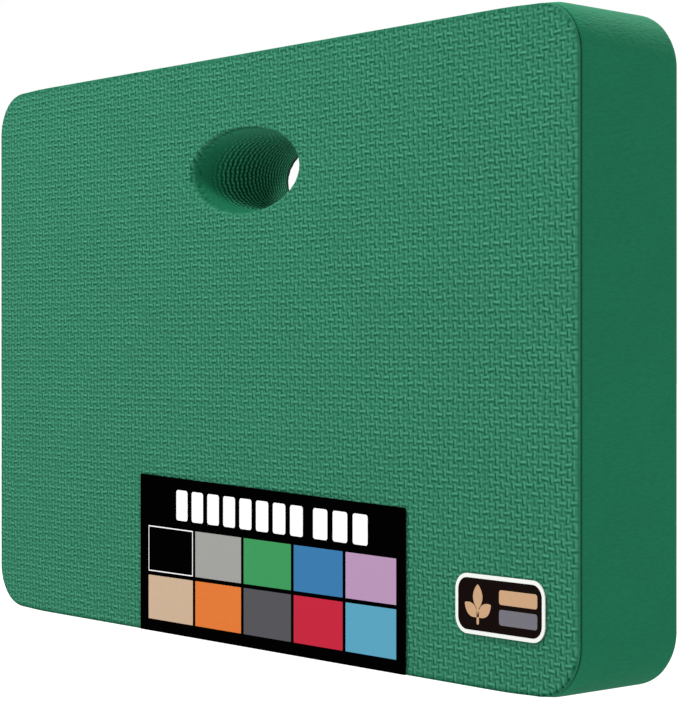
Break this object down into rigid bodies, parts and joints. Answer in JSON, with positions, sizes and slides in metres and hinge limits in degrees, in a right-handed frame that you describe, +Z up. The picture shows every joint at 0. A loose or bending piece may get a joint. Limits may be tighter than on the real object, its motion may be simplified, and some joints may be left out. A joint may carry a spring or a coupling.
{
  "type": "kneeling pad",
  "caption": "Thick foam kneeling pad with a woven-look embossed face, rounded corners and an oval hand hole near one long edge.",
  "frame": {"origin": "on the ground under the middle of the pad, which stands on its long edge", "axes": "+Z up, +X along the pad's width, +Y through its thickness away from the kneeling face"},
  "size_m": [0.435, 0.0628, 0.28],
  "materials": {
    "sheet_foam": "matte embossed closed-cell foam",
    "core_foam": "matte closed-cell foam",
    "card_print": "printed film with ten colour squares",
    "badge_print": "printed vinyl"
  },
  "bodies": {
    "root": {"foam_core": "core_foam", "front_grip_sheet": "sheet_foam", "back_grip_sheet": "sheet_foam", "colour_card": "card_print", "badge_sticker": "badge_print"}
  },
  "joints": []
}
